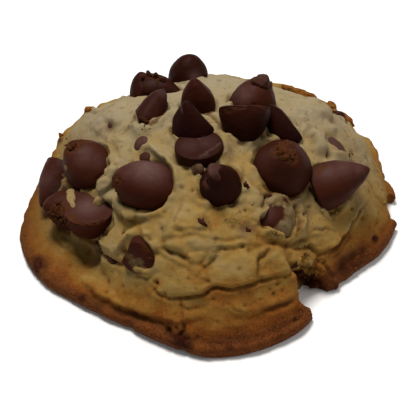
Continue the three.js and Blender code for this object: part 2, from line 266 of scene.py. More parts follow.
# Small holes where the crumb shows: pixel, radius and depth in millimetres.
HOLES = [
    (284, 93, 0.5, 0.9), (346, 138, 0.4, 0.6), (309, 141, 0.35, 0.5), (316, 139, 0.35, 0.5),
    (326, 157, 0.6, 0.8), (301, 217, 0.45, 0.7), (310, 188, 0.5, 0.8), (317, 200, 0.4, 0.6),
    (325, 206, 0.4, 0.6), (352, 209, 0.35, 0.6), (309, 207, 0.35, 0.6), (304, 256, 0.5, 0.9),
    (320, 262, 0.6, 1.0), (275, 295, 0.5, 0.5), (296, 321, 0.6, 0.7), (230, 348, 0.4, 0.6),
    (157, 284, 0.4, 0.6), (107, 292, 0.35, 0.5), (124, 232, 0.5, 0.4), (375, 239, 0.6, 0.6),
    (168, 331, 0.6, 0.8), (240, 213, 0.35, 0.5), (245, 211, 0.3, 0.5), (270, 197, 0.6, 0.7),
    (193, 191, 0.35, 0.5), (182, 188, 0.4, 0.4), (164, 212, 0.35, 0.4), (243, 246, 0.35, 0.5),
    (288, 245, 0.5, 0.6), (146, 176, 0.4, 0.5), (107, 175, 0.5, 0.6), (112, 180, 0.5, 0.6),
    (268, 134, 0.5, 0.6), (135, 118, 0.5, 0.5), (340, 155, 0.5, 0.6), (352, 152, 0.5, 0.6),
]
# Patches where sugar scorched at the rim and where melted chocolate stained the dough; the stains
# at (98, 250) and (97, 259) are painted shadow under the broken chip on the left. Each row holds
# a pixel, a radius in millimetres and a strength.
SCORCHES = [
    (352, 259, 2.8, 0.75), (344, 265, 2.8, 0.7), (361, 253, 2.2, 0.55), (330, 276, 2.4, 0.5),
    (180, 341, 2.0, 1.0), (186, 346, 1.6, 0.9), (170, 333, 1.0, 0.7), (39, 264, 1.9, 1.0),
    (36, 271, 1.4, 0.8), (81, 297, 1.2, 0.8), (98, 305, 1.4, 0.5), (118, 313, 1.6, 0.5),
    (313, 283, 2.6, 1.5), (306, 279, 1.8, 1.4), (300, 273, 1.5, 1.3), (295, 266, 1.2, 1.0),
    (388, 205, 1.8, 0.6), (375, 239, 0.9, 0.8), (230, 349, 0.8, 0.7), (131, 324, 1.2, 0.6),
    (384, 172, 1.4, 0.7), (310, 334, 1.0, 0.4), (60, 141, 1.4, 0.5), (48, 250, 0.8, 0.3),
]
STAINS_AND_SHADOWS = [
    (111, 127, 1.4, 0.7), (228, 150, 1.6, 0.5), (229, 160, 1.2, 0.4), (318, 155, 1.1, 0.3),
    (244, 230, 1.6, 0.6), (252, 229, 1.2, 0.5), (203, 222, 1.4, 0.5), (303, 212, 1.3, 0.6),
    (297, 203, 1.4, 0.6), (346, 152, 1.4, 0.6), (254, 172, 0.9, 0.3), (143, 150, 1.5, 0.3),
    (106, 192, 1.3, 0.3), (116, 150, 1.0, 0.2), (180, 120, 1.0, 0.3), (263, 197, 1.6, 0.5),
    # the rows at (98, 250) and (97, 259) are painted shadow in the hollow left of the dough cap
    (149, 258, 1.2, 0.3), (98, 250, 1.8, 0.7), (97, 259, 1.6, 0.6), (196, 172, 1.0, 0.2),
]
NOISE_START = Vector((3.1, 7.7, 1.9))
SWAY_SEED = 7
noise.seed_set(SWAY_SEED)  # without it the sway of the traced lines differs from run to run


def curve(a, b, c, d, t):
    """A smooth curve from b, where t is 0, to c, where it is 1, between the entries a and d."""
    return b + 0.5 * t * (c - a + t * (2 * a - 5 * b + 4 * c - d + t * (3 * (b - c) + d - a)))


def around(values, angle):
    """A smooth value round the cookie from the evenly spaced entries of a list."""
    n = len(values)
    place = (angle / math.tau) % 1 * n
    i = np.floor(place).astype(int) % n
    return curve(*(values[(i + k) % n] for k in (-1, 0, 1, 2)), place - np.floor(place))


def smooth(value, low, high):
    """0 below low, 1 above high, and an S curve between."""
    t = np.clip((value - low) / (high - low), 0, 1)
    return t * t * (3 - 2 * t)


def rim_at(angle):
    """Radius of the rim, with the bites out of it."""
    rim = around(RIM_RADII, angle)
    for compass, half, depth in RIM_NICKS:
        off = (np.degrees(angle) - compass + 180) % 360 - 180
        rim = rim - depth * np.exp(-(off / half) ** 4)
    return rim


def top_height(x, y):
    """Height of the top surface over a plan point, both in millimetres from the tray mark."""
    angle = np.arctan2(y - POLE[1], x - POLE[0])
    share = np.hypot(x - POLE[0], y - POLE[1]) / around(RIM_RADII, angle)
    mound = np.maximum(0, 1 - (share / around(MOUND_REACH, angle)) ** 2) ** MOUND_POWER
    height = SKIRT_HEIGHT + SKIRT_RISE * smooth(1 - share, EDGE_SHARE, CLIMB_SHARE)
    height = height + (CROWN_HEIGHT - SKIRT_HEIGHT - SKIRT_RISE) * mound
    settled = smooth(1 - share, *CALM_SHARES)
    for lump_x, lump_y, radius, lump in LUMPS:
        apart = (x - lump_x) ** 2 + (y - lump_y) ** 2
        height = height + settled * lump * np.exp(-apart / radius ** 2)
    return height


def corners(piece):
    """The corners of a piece's mesh as rows of x, y and z."""
    flat = np.empty(3 * len(piece.data.vertices))
    piece.data.vertices.foreach_get("co", flat)
    return flat.reshape(-1, 3)


def set_corners(piece, points):
    """Moves the corners of a piece's mesh."""
    piece.data.vertices.foreach_set("co", np.ascontiguousarray(points, dtype=np.float32).ravel())
    piece.data.update()


def directions(piece):
    """The normals at the corners of a piece's mesh."""
    flat = np.empty(3 * len(piece.data.vertices))
    piece.data.vertices.foreach_get("normal", flat)
    return flat.reshape(-1, 3)


def speckle(points, grain, octaves=1):
    """Noise between about -1 and 1 at the given points, with grains of the given size."""
    places = points / grain
    if octaves == 1:
        return np.array([noise.noise(Vector(p) + NOISE_START) for p in places])
    return np.array([noise.fractal(Vector(p) + NOISE_START, 1, 2, octaves) for p in places])


def paint(piece, name, values):
    """Stores a value at each corner for the material to read."""
    layer = piece.data.attributes.new(name, "FLOAT", "POINT")
    layer.data.foreach_set("value", np.ascontiguousarray(values, dtype=np.float32))


def tree_of(piece):
    """A search tree of a piece's faces."""
    faces = [tuple(face.vertices) for face in piece.data.polygons]
    return BVHTree.FromPolygons([Vector(p) for p in corners(piece)], faces)


def sight(u, v):
    """The direction from the camera through a pixel of the photograph."""
    across = (u - IMAGE_SIZE / 2) / FOCAL_PIXELS
    up = (IMAGE_SIZE / 2 - v) / FOCAL_PIXELS
    return (look + across * Vector((1, 0, 0)) + up * rise).normalized()


def on_tray(x, y, z):
    """A point in the part's frame from millimetres off the tray mark."""
    return Vector(((x - MIDDLE[0]) * MM, (y - MIDDLE[1]) * MM, z * MM))


bpy.ops.object.select_all(action="DESELECT")
bpy.ops.mesh.primitive_ico_sphere_add(subdivisions=DOUGH_SUBDIVISIONS, radius=1)
dough = bpy.context.object
dough.name = "baked_dough"
ball = corners(dough)
angle = np.arctan2(ball[:, 1], ball[:, 0])
up = ball[:, 2]
rim = rim_at(angle)
inner = rim * (1 - EDGE_SHARE)
turn = math.pi * np.clip((TOP_BAND - up) / (TOP_BAND - BASE_BAND), 0, 1)
radius = inner + (rim - inner) * np.sin(turn)
radius = np.where(up > TOP_BAND, inner * np.sqrt((1 - up).clip(0) / (1 - TOP_BAND)), radius)
radius = np.where(up < BASE_BAND, inner * np.sqrt((1 + up).clip(0) / (1 + BASE_BAND)), radius)
x = POLE[0] + radius * np.cos(angle)
y = POLE[1] + radius * np.sin(angle)
edge = SKIRT_HEIGHT * (0.5 + 0.5 * np.cos(turn))
z = np.where(up > TOP_BAND, top_height(x, y), edge)
set_corners(dough, (np.stack([x, y, z], axis=1) - MIDDLE) * MM)

for outline in SPLITS:
    bpy.ops.object.select_all(action="DESELECT")
    bpy.ops.mesh.primitive_circle_add(vertices=len(outline), radius=1, fill_type="NGON")
    cutter = bpy.context.object
    set_corners(cutter, [on_tray(x, y, -CROWN_HEIGHT) for x, y in outline])
    bpy.ops.object.mode_set(mode="EDIT")
    bpy.ops.mesh.select_all(action="SELECT")
    bpy.ops.mesh.extrude_region_move(
        TRANSFORM_OT_translate={"value": (0, 0, 3 * CROWN_HEIGHT * MM)})
    bpy.ops.mesh.select_all(action="SELECT")
    bpy.ops.mesh.normals_make_consistent(inside=False)
    bpy.ops.object.mode_set(mode="OBJECT")
    bpy.context.view_layer.objects.active = dough
    cut = dough.modifiers.new("split", "BOOLEAN")
    cut.operation = "DIFFERENCE"
    cut.object = cutter
    bpy.ops.object.modifier_apply(modifier="split")
    bpy.data.objects.remove(cutter)

even = dough.modifiers.new("even", "REMESH")
even.mode = "VOXEL"
even.voxel_size = DOUGH_VOXEL
bpy.ops.object.modifier_apply(modifier="even")

# The underside stays flat, so it needs few faces.
bpy.ops.object.mode_set(mode="EDIT")
bpy.ops.mesh.select_mode(type="FACE")
bpy.ops.mesh.select_all(action="DESELECT")
bpy.ops.object.mode_set(mode="OBJECT")
for face in dough.data.polygons:
    face.select = face.normal.z < BASE_FACING and face.center.z < BASE_DEPTH
bpy.ops.object.mode_set(mode="EDIT")
bpy.ops.mesh.decimate(ratio=BASE_KEPT)
bpy.ops.object.mode_set(mode="OBJECT")

plain = corners(dough)
outward = directions(dough)
smooth_tree = tree_of(dough)
chip_faces = []
chip_corners = []
for name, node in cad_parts.items():
    if name.startswith("chip_"):
        start = len(chip_corners)
        chip_corners += [Vector(p) for p in corners(node)]
        chip_faces += [tuple(start + k for k in face.vertices) for face in node.data.polygons]
chip_tree = BVHTree.FromPolygons(chip_corners, chip_faces)

# The skin of the crust, in millimetres along its normals: noise of three sizes, folds where it
# crumpled and knobs where it boiled up, all of it calmer down the front and on the skirt.
COARSE_SIZE = 6.5
MEDIUM_SIZE = 2.4
FINE_SIZE = 1.0
CRUMPLE_SIZE = 5.2
CRUMPLE_SHIFT = 40
KNOB_SIZE = 3.0
KNOB_SHIFT = 60
COARSE_RISE = 0.5
MEDIUM_RISES = (0.14, 0.16)  # everywhere, and as much more where the skin is lively
FINE_RISE = 0.08
CRUMPLE_RISE = 0.8
CRUMPLE_TOP = 0.35
CRUMPLE_SINK = 0.22
KNOB_RISE = 0.35
KNOB_TOP = 0.3
SIDE_RISE = 0.06
SIDE_LEVELS = (0.15, 1.2)  # from the plain side at the tray to the rough top
SKIRT_LEVELS = (4.5, 8.5)
FRONT_LEVELS = (12, 21)
FRONT_CALM = 0.65
CRUMPLE_CALM = 0.6
KNOB_CALM = 0.7
mm_points = plain / MM
polar = mm_points[:, :2] + MIDDLE[:2] - POLE
compass = np.arctan2(polar[:, 1], polar[:, 0])
share = np.hypot(polar[:, 0], polar[:, 1]) / around(RIM_RADII, compass)
height = mm_points[:, 2]
is_top = smooth(height, *SIDE_LEVELS)
front = 0.5 - 0.5 * np.sin(compass)
coarse = speckle(mm_points, COARSE_SIZE)
medium = speckle(mm_points, MEDIUM_SIZE)
fine = speckle(mm_points, FINE_SIZE, octaves=3)
crumple = np.minimum(np.abs(speckle(mm_points + CRUMPLE_SHIFT, CRUMPLE_SIZE)), CRUMPLE_TOP)
knobs = np.minimum(np.abs(speckle(mm_points + KNOB_SHIFT, KNOB_SIZE)), KNOB_TOP)
on_skirt = 1 - smooth(height, *SKIRT_LEVELS)
lively = 1 - FRONT_CALM * front * (1 - smooth(height, *FRONT_LEVELS))
medium_rise = MEDIUM_RISES[0] + MEDIUM_RISES[1] * lively
relief = COARSE_RISE * coarse + medium_rise * medium + FINE_RISE * fine
relief += CRUMPLE_RISE * crumple * (1 - CRUMPLE_CALM * on_skirt) * lively - CRUMPLE_SINK
relief += KNOB_RISE * knobs * (1 - KNOB_CALM * on_skirt) * lively
relief = is_top * relief + (1 - is_top) * SIDE_RISE * fine
# darkening for browned crumb and painted shade in cracks, holes and pores, and painted shadow by chips
crumb_and_shade = np.zeros(len(plain))
LINE_STEP = 0.35
SWAY_BEND = 0.45  # how tightly a traced line sways, per millimetre
CRACK_SWAY = 0.4
RIDGE_SWAY = 0.5
LIP_OFF = 2.2  # how far off a crack its lips stand, and how wide, in half widths of the crack
LIP_WIDE = 1.2
LIP_RISE = 0.22  # share of the crack's depth


def near(points, reach):
    """Which dough corners lie in the box round some points, grown by a reach."""
    low = points.min(axis=0) - reach
    high = points.max(axis=0) + reach
    return np.flatnonzero(np.all((mm_points > low) & (mm_points < high), axis=1))


def trace(pixels):
    """Points on the smooth dough, in millimetres, that pixels of the photograph show."""
    hits = [smooth_tree.ray_cast(eye, sight(*pixel))[0] for pixel in pixels]
    return np.array([hit for hit in hits if hit is not None]) / MM


def along(points, reach, sway):
    """The dough corners by a line, how far off each is, its nearest line point, and the line's fade."""
    line = []
    for a, b in zip(points[:-1], points[1:]):
        count = max(2, int(np.linalg.norm(b - a) / LINE_STEP))
        line += [a + (b - a) * k / count for k in range(count)]
    line = np.array(line + [points[-1]])
    ends = np.linspace(0, 1, len(line))
    line = line + sway * np.array([noise.noise_vector(Vector(p) * SWAY_BEND) for p in line])
    found = near(line, reach)
    apart = np.linalg.norm(mm_points[found][:, None, :] - line[None, :, :], axis=2)
    nearest = apart.argmin(axis=1)
    fade = np.sin(math.pi * np.clip(ends[nearest], 0.02, 0.98)) ** 0.4
    return found, apart[np.arange(len(found)), nearest], line[nearest], fade


def score(points, half, depth):
    """Cuts a crack along points on the surface: a groove with raised lips and faded ends. Its groove is
    darkened, for browned crumb and as painted shade.
    """
    found, distance, _, fade = along(points, 6 * half, CRACK_SWAY)
    groove = np.exp(-(distance / half) ** 2) * fade * (0.75 + 0.5 * medium[found])
    lips = np.exp(-((distance - LIP_OFF * half) / (LIP_WIDE * half)) ** 2) * fade
    relief[found] += -depth * groove + LIP_RISE * depth * lips
    crumb_and_shade[found] = np.maximum(crumb_and_shade[found], groove * min(1, 0.35 + 0.5 * depth))


for half, height_there, pixels in PLATES:
    found, distance, _, _ = along(trace(pixels), 3 * half, 0)
    wavy = distance * (1 + 0.35 * medium[found])
    relief[found] += height_there * np.exp(-(wavy / half) ** 4)
for half, height_there, pixels in RIDGES:
    found, distance, _, fade = along(trace(pixels), 4 * half, RIDGE_SWAY)
    wavy = distance * (1 + 0.4 * medium[found])
    relief[found] += height_there * fade * np.exp(-(wavy / half) ** 2)
for half, step, pixels in SHELVES:
    found, distance, nearest, fade = along(trace(pixels), 8 * half, RIDGE_SWAY)
    uphill = np.append(POLE - MIDDLE[:2], CROWN_HEIGHT) - nearest
    uphill /= np.linalg.norm(uphill, axis=1)[:, None]
    side = np.sum((mm_points[found] - nearest) * uphill, axis=1)
    relief[found] += step * fade * np.tanh(1.5 * side / half) * np.exp(-(distance / (3 * half)) ** 2)
for half, depth, pixels in CRACKS:
    score(trace(pixels), half, depth)
for half, depth, plan in HIDDEN_CRACKS:
    points = [np.array([x, y, float(top_height(x, y))]) - MIDDLE for x, y in plan]
    score(np.array(points), half, depth)


def spots(rows):
    """For each row that starts with a pixel: the row, the dough corners by it and how far off."""
    for u, v, *sizes in rows:
        hit = smooth_tree.ray_cast(eye, sight(u, v))[0]
        if hit is not None:
            middle = np.array([hit]) / MM
            found = near(middle, 3 * sizes[0])
            yield sizes, found, np.linalg.norm(mm_points[found] - middle, axis=1)


for (radius, depth), found, distance in spots(HOLES):
    bowl = np.exp(-(distance / radius) ** 2)
    relief[found] -= depth * bowl
    # the holes are darkened, for the crumb and as painted shade
    crumb_and_shade[found] = np.maximum(crumb_and_shade[found], 0.9 * bowl)
scorch = np.zeros(len(plain))
for (radius, strength), found, distance in spots(SCORCHES):
    scorch[found] = np.maximum(scorch[found], strength * np.exp(-(distance / radius) ** 2))
stain_and_shadow = np.zeros(len(plain))
for (radius, strength), found, distance in spots(STAINS_AND_SHADOWS):
    stain_and_shadow[found] = np.maximum(stain_and_shadow[found], strength * np.exp(-(distance / radius) ** 2))

# Pores all over the top, and the dough's lips round each chip: here it climbed, there it shrank.
# The pores and the gaps by the chips are darkened with painted shade.
PORE_COUNT = 260
PORE_RADII = (0.25, 0.5)
PORE_DEPTH = 0.8  # in radii
CLIMB_SIZE = 2.6
CLIMB_SHIFT = 80
CHIP_REACH = 3
CLIMB_RISES = (0.2, 0.6)  # everywhere, and as much more where the dough climbed
CLIMB_PLACE = (0.5, 0.9)  # how far off the chip, and how wide
SHRINK_DEPTH = 0.7
SHRINK_PLACE = (0.3, 0.5)
SHADE_PLACE = (0.2, 0.45)
random = np.random.default_rng(7)
pores = random.choice(np.flatnonzero(outward[:, 2] > 0.1), PORE_COUNT, replace=False)
for middle, radius in zip(mm_points[pores], random.uniform(*PORE_RADII, len(pores))):
    found = near(middle[None, :], 3 * radius)
    bowl = np.exp(-(np.linalg.norm(mm_points[found] - middle, axis=1) / radius) ** 2)
    relief[found] -= PORE_DEPTH * radius * bowl
    # the pores are darkened with painted shade
    crumb_and_shade[found] = np.maximum(crumb_and_shade[found], 0.5 * bowl)

to_chip = np.full(len(plain), 3.0 * CHIP_REACH)
for i in np.flatnonzero(is_top > 0.5):
    spot, facing, _, distance = chip_tree.find_nearest(Vector(plain[i]), CHIP_REACH * MM)
    if spot is not None:
        to_chip[i] = math.copysign(distance / MM, (Vector(plain[i]) - spot).dot(facing))
climbs = smooth(speckle(mm_points + CLIMB_SHIFT, CLIMB_SIZE), -0.25, 0.35)
lip, gap, shade = (np.exp(-((to_chip - off) / wide) ** 2)
                   for off, wide in (CLIMB_PLACE, SHRINK_PLACE, SHADE_PLACE))
relief += (CLIMB_RISES[0] + CLIMB_RISES[1] * climbs) * lip
relief -= SHRINK_DEPTH * (1 - climbs) * gap
# painted shadow in the gap where the dough shrank from a chip
crumb_and_shade = np.maximum(crumb_and_shade, (1 - climbs) * shade)
relief += 0.3 * scorch * fine
relief += 0.25 * smooth(crumb_and_shade, 0.5, 1) * fine
set_corners(dough, plain + outward * (relief * MM)[:, None])
resting = corners(dough)
resting[:, 2] = np.maximum(resting[:, 2], 0)
set_corners(dough, resting)
bpy.ops.object.select_all(action="DESELECT")
dough.select_set(True)
bpy.context.view_layer.objects.active = dough
bpy.ops.object.shade_smooth()

# How browned the crust is, from 0 for pale to 1 for dark: golden down the front, brown at the rim,
# darkest at the front of the tray. What stands up is painted paler, a painted highlight, and the
# hollows darker, a painted shade. The left and right flanks are darkened with painted shade.
PALE_TOAST = 0.07
GOLDEN = 0.34
GOLDEN_START = 18  # millimetres behind the middle
GOLDEN_LENGTH = 40
GOLDEN_ARCS = [  # compass and half width in radians, how much more, and where it fades from the rim
    (-1.4, 0.5, 0.09, (9, 16)), (-2.65, 0.22, 0.1, (5, 12)), (-2.15, 0.25, -0.09, (5, 12)),
]
GOLDEN_PLATE = ((4, -26), (14, 6), 0.1)  # middle, half sizes and how much more
EDGE_GOLD = (0.11, (4, 12))  # how much more, and where it fades, in millimetres from the rim
EDGE_BROWN = (0.38, (-0.5, 6.5))
EDGE_DARK = (0.3, (0.3, 3))
from_rim = (1 - share) * around(RIM_RADII, compass)
golden = GOLDEN * smooth(GOLDEN_START - mm_points[:, 1], 0, GOLDEN_LENGTH)
for middle, half, more, fade in GOLDEN_ARCS:
    golden += more * np.exp(-((compass - middle) / half) ** 2) * (1 - smooth(from_rim, *fade))
(plate_x, plate_y), (half_x, half_y), more = GOLDEN_PLATE
off_plate = ((mm_points[:, 0] - plate_x) / half_x) ** 2 + ((mm_points[:, 1] - plate_y) / half_y) ** 2
golden += more * np.exp(-off_plate)
edge_gold = EDGE_GOLD[0] * (1 - smooth(from_rim + 1.2 * coarse, *EDGE_GOLD[1]))
edge_brown = EDGE_BROWN[0] * (1 - smooth(from_rim + coarse + 0.5 * medium, *EDGE_BROWN[1]))
edge_dark = EDGE_DARK[0] * front * (1 - smooth(from_rim, *EDGE_DARK[1]))
standing = np.clip(relief - COARSE_RISE * coarse, -0.8, 0.8)
# painted highlight on what stands up and painted shade in the hollows: toast falls as relief rises
toast = PALE_TOAST + golden + edge_gold + edge_brown + edge_dark + 0.07 * coarse - 0.09 * standing
# painted shade that darkens the left and right flanks, less on the right
right_side = (mm_points[:, 0] > 0) * (0.5 + 0.5 * smooth(share, 0.7, 0.85))
painted_shade = np.abs(np.cos(compass)) ** 8 * smooth(share, 0.45, 0.8) * (1 - 0.6 * right_side)
paint(dough, "toast", np.clip(toast, 0, 1))
paint(dough, "painted_shade", painted_shade)
paint(dough, "crumb_and_shade", np.clip(crumb_and_shade, 0, 1))
paint(dough, "scorch", np.clip(scorch * (1 + 0.6 * medium + 0.5 * fine), 0, 1))
paint(dough, "stain_and_shadow", np.clip(stain_and_shadow * (1 + 0.4 * medium), 0, 1))


class Wire:
    """An output in a material. Arithmetic on it adds Math nodes to the material."""

    def __init__(self, tree, socket=None):
        self.tree = tree
        self.socket = socket

    def node(self, kind, inputs, output=0, stops=(), **settings):
        """Adds a node: its settings, its ramp's stops, then its sockets' values or links."""
        made = self.tree.nodes.new(kind)
        for name, value in settings.items():
            setattr(made, name, value)
        for i, (place, color) in enumerate(stops):
            points = made.color_ramp.elements
            point = points[0] if i == 0 else points[-1] if i == len(stops) - 1 else points.new(place)
            point.position = place
            point.color = (*color, 1)
        for name, value in inputs.items():
            if isinstance(value, Wire):
                self.tree.links.new(value.socket, made.inputs[name])
            else:
                made.inputs[name].default_value = value
        return Wire(self.tree, made.outputs[output])

    def math(self, operation, *values):
        return self.node("ShaderNodeMath", dict(enumerate(values)), operation=operation)

    def __add__(self, other):
        return self.math("ADD", self, other)

    def __sub__(self, other):
        return self.math("SUBTRACT", self, other)

    def __rsub__(self, other):
        return self.math("SUBTRACT", other, self)

    def __mul__(self, other):
        return self.math("MULTIPLY", self, other)

    __radd__ = __add__
    __rmul__ = __mul__

    def between(self, low, high):
        """0 below low and 1 above high, straight between."""
        return self.node("ShaderNodeMapRange", {"Value": self, "From Min": low, "From Max": high})

    def blend(self, a, b):
        """Colour a where this is 0 and colour b where it is 1."""
        return self.node("ShaderNodeMix", {0: self, 6: a, 7: b}, output=2, data_type="RGBA")


def start_material(name):
    """A new material and its shader, a reader of painted values, and a maker of noise."""
    material = bpy.data.materials.new(name)
    material.use_nodes = True
    tree = material.node_tree
    wires = Wire(tree)
    place = wires.node("ShaderNodeTexCoord", {}, output=3)

    def painted(layer):
        return wires.node("ShaderNodeAttribute", {}, output=2, attribute_name=layer)

    def grain(size, detail=2.0, rough=0.5):
        inputs = {"Vector": place, "Scale": 1 / (size * MM), "Detail": detail, "Roughness": rough}
        return wires.node("ShaderNodeTexNoise", inputs)

    return material, tree.nodes["Principled BSDF"], painted, grain


def link(shader, name, wire):
    """Feeds a wire into one of a shader's sockets."""
    wire.tree.links.new(wire.socket, shader.inputs[name])


CRUST_COLORS = [  # from pale to dark
    (0.0, (0.285, 0.238, 0.15)), (0.22, (0.268, 0.204, 0.1)), (0.45, (0.262, 0.162, 0.042)),
    (0.6, (0.222, 0.096, 0.014)), (0.78, (0.158, 0.039, 0.003)), (1.0, (0.082, 0.015, 0.002)),
]
CRUMBLY_COLOR = (0.30, 0.17, 0.06, 1)
# colour of the painted shade on the flanks and on the bits
PAINTED_SHADE_COLOR = (0.10, 0.042, 0.009, 1)
SPECK_COLOR = (0.09, 0.035, 0.01, 1)
# colour of the crumb and of the painted shade in cracks, holes, pores and chip gaps
CRUMB_AND_SHADE_COLOR = (0.085, 0.033, 0.008, 1)
# colour of the chocolate stains and of the painted shadow under the broken chip
STAIN_AND_SHADOW_COLOR = (0.075, 0.034, 0.024, 1)
SCORCH_COLOR = (0.04, 0.011, 0.004, 1)
PATCHES = (3.6, 0.44)  # size in millimetres and strength
MOTTLES = (0.8, 0.16)
CRUMBLY = (0.45, 0.16)
SPECKS = (0.5, 0.75)
SPECKLED_SIZE = 7.0
CRUST_ROUGHNESS = (0.72, 0.16)  # least, and how much more in places
CRUST_SPECULAR = 0.05
BUMPY_SIZE = 5.0
BUMP_SIZES = (0.55, 0.22)
BUMP_STRENGTH = 0.6
BUMP_HEIGHT = 0.2 * MM
baked, shader, painted, grain = start_material("baked_dough")
patchy = painted("toast")
for size, strength in (PATCHES, MOTTLES):
    patchy = patchy + strength * (grain(size, 3.0) - 0.5)
crust = patchy.node("ShaderNodeValToRGB", {0: patchy}, stops=CRUST_COLORS)
crumbly = grain(CRUMBLY[0], 2.0, 0.7).between(0.42, 0.62)
specks = grain(SPECKS[0], 1.0).between(0.66, 0.72) * grain(SPECKLED_SIZE, 2.0).between(0.48, 0.62)
# the painted shade of the flanks and creases and the painted shadow among the stains mix in here
for amount, color in (
        (CRUMBLY[1] * (1 - crumbly), CRUMBLY_COLOR), (0.6 * painted("painted_shade"), PAINTED_SHADE_COLOR),
        (SPECKS[1] * specks, SPECK_COLOR), (0.9 * painted("crumb_and_shade"), CRUMB_AND_SHADE_COLOR),
        (painted("stain_and_shadow").between(0.05, 0.9), STAIN_AND_SHADOW_COLOR),
        (painted("scorch").between(0.1, 0.8), SCORCH_COLOR)):
    crust = amount.blend(crust, color)
link(shader, "Base Color", crust)
link(shader, "Roughness", CRUST_ROUGHNESS[0] + CRUST_ROUGHNESS[1] * grain(0.9))
shader.inputs["Specular IOR Level"].default_value = CRUST_SPECULAR
bumpy = 0.4 + 1.6 * grain(BUMPY_SIZE, 2.0).between(0.42, 0.66)
bumps = bumpy * (grain(BUMP_SIZES[0], 3.0, 0.65) + 0.5 * grain(BUMP_SIZES[1], 2.0))
link(shader, "Normal", bumps.node(
    "ShaderNodeBump", {"Height": bumps, "Strength": BUMP_STRENGTH, "Distance": BUMP_HEIGHT}))
dough.data.materials.clear()
dough.data.materials.append(baked)
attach(dough, "root")
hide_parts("dough")

# The chips: drops of dark chocolate, flat underneath and drawn up to a tip. They softened in the
# oven, so some tips sank or broke open, and they lie every way up in the dough.
CHIP_HEIGHTS = np.array([1, 0.9, 0.75, 0.55, 0.32, 0.1, 0, 0])  # shares of the height, tip first
FRESH_RADII = np.array([0, 0.22, 0.46, 0.74, 0.94, 1, 0.88, 0])
MELTED_RADII = np.array([0, 0.42, 0.68, 0.88, 0.98, 1, 0.88, 0])
CRISP_RADII = np.array([0, 0.25, 0.44, 0.64, 0.85, 1, 0.88, 0])
CHIP_MIDDLE = 0.4
CHIP_SEGMENTS = 48
CHIP_RINGS = 30
SWELLS = [(0.22, 4.0, 30), (0.07, 1.1, 0)]  # rise, size, and how differently each chip swells
SWELL_SINK = 0.12
# For each chip: plan place and lift in millimetres, lean and compass of the tip in degrees, width
# and height in millimetres, how melted it is, where below zero is crisp, and how pale, which also
# sets how strong the painted sheen on its top is.
CHIPS = {
    "chip_base_up": ((-2.2, -7, -1.5), (172, 300), (10.2, 8), 0.5, 0.1),
    "chip_bowl": ((7, -0.4, 1.65), (132, 270), (10.8, 8.4), 0.6, 0.1),
    "chip_right_large": ((14.6, -9, 1.5), (18, 275), (12.8, 9.4), 0.6, 0.25),
    "chip_left_blunt": ((-26.6, -1.8, 1.2), (40, 150), (11.4, 9.6), 0.8, 0.45),
    "chip_left_broken": ((-25.4, -12.3, 0.1), (175, 270), (12, 9), 0.7, 0.85),
    "chip_left_large": ((-13.9, -12.3, 1.1), (55, 195), (11.4, 12), 0.9, 0.9),
    "chip_middle_front": ((1.8, -15.6, 1.8), (16, 255), (8.8, 8.4), 0.3, 0.0),
    "chip_right_lying": ((26.1, -8.3, 1.1), (71, 13), (10.4, 12.6), 0.35, 0.4),
    "chip_crest_dome": ((-5, 25.6, 1.9), (10, 60), (9.6, 8.2), 0.8, 0.05),
    "chip_crest_side": ((-11, 18.2, 0.2), (84, -22), (7.2, 8.8), 0.5, 0.1),
    "chip_crest_crumbled": ((-15.1, 20.3, 0.5), (32, 110), (7.8, 7.8), 0.7, 0.1),
    "chip_rear_left": ((-12.4, 6, 0.9), (65, 60), (6.8, 9.6), 0.6, 0.15),
    "chip_rear_upright": ((-2.9, 7.8, 1.9), (8, 150), (7.6, 8.5), 0.4, 0.3),
    "chip_middle_upright": ((-3.8, -0.1, 1.7), (16, 160), (10.0, 8.4), 0.2, -0.08),
    "chip_rear_knob": ((9.4, 9.2, 1.5), (20, 40), (10.4, 8.4), 0.85, 0.45),
    "chip_rear_dark": ((14.6, 2.2, 0.4), (32, 150), (8.8, 9.6), -0.4, -0.08),
    "chip_left_low": ((-31.1, -8.9, 1.3), (60, 200), (9.6, 8.6), 0.6, 0.35),
    "chip_left_edge": ((-34.1, -0.3, 1.4), (105, 245), (8.4, 10.8), 0.3, 0.35),
    "chip_front_torn": ((-14, -23.8, -0.6), (110, 70), (7.4, 7.6), 0.5, 0.4),
    "chip_right_smeared": ((13, -17.4, -1.5), (30, 60), (9.2, 7.2), 0.8, 0.4),
    "chip_back_low": ((-5.5, 34.4, 0.2), (50, 90), (8.6, 7.6), 0.6, 0.3),
    "chip_back_left": ((-13.5, 30.4, -0.9), (55, 115), (8.4, 8), 0.5, 0.3),
    "chip_back_flush": ((11, 33.6, -1.2), (50, 75), (6.6, 5.6), 1.0, 0.3),
    "chip_back_right": ((29.2, 20.6, -1.9), (50, 40), (5.2, 4.6), 1.0, 0.2),
}
# Torn edges, each as two pixels of the photograph: what lies on the line's left is gone.
TEARS = {
    "chip_front_torn": [((120, 262), (136, 231)), ((137, 231), (157, 258))],
    "chip_rear_left": [((142, 131), (135, 114)), ((159, 119), (147, 131))],
    "chip_rear_dark": [((278, 102), (302, 135))],
    "chip_middle_upright": [((190, 102), (216, 129))],
}
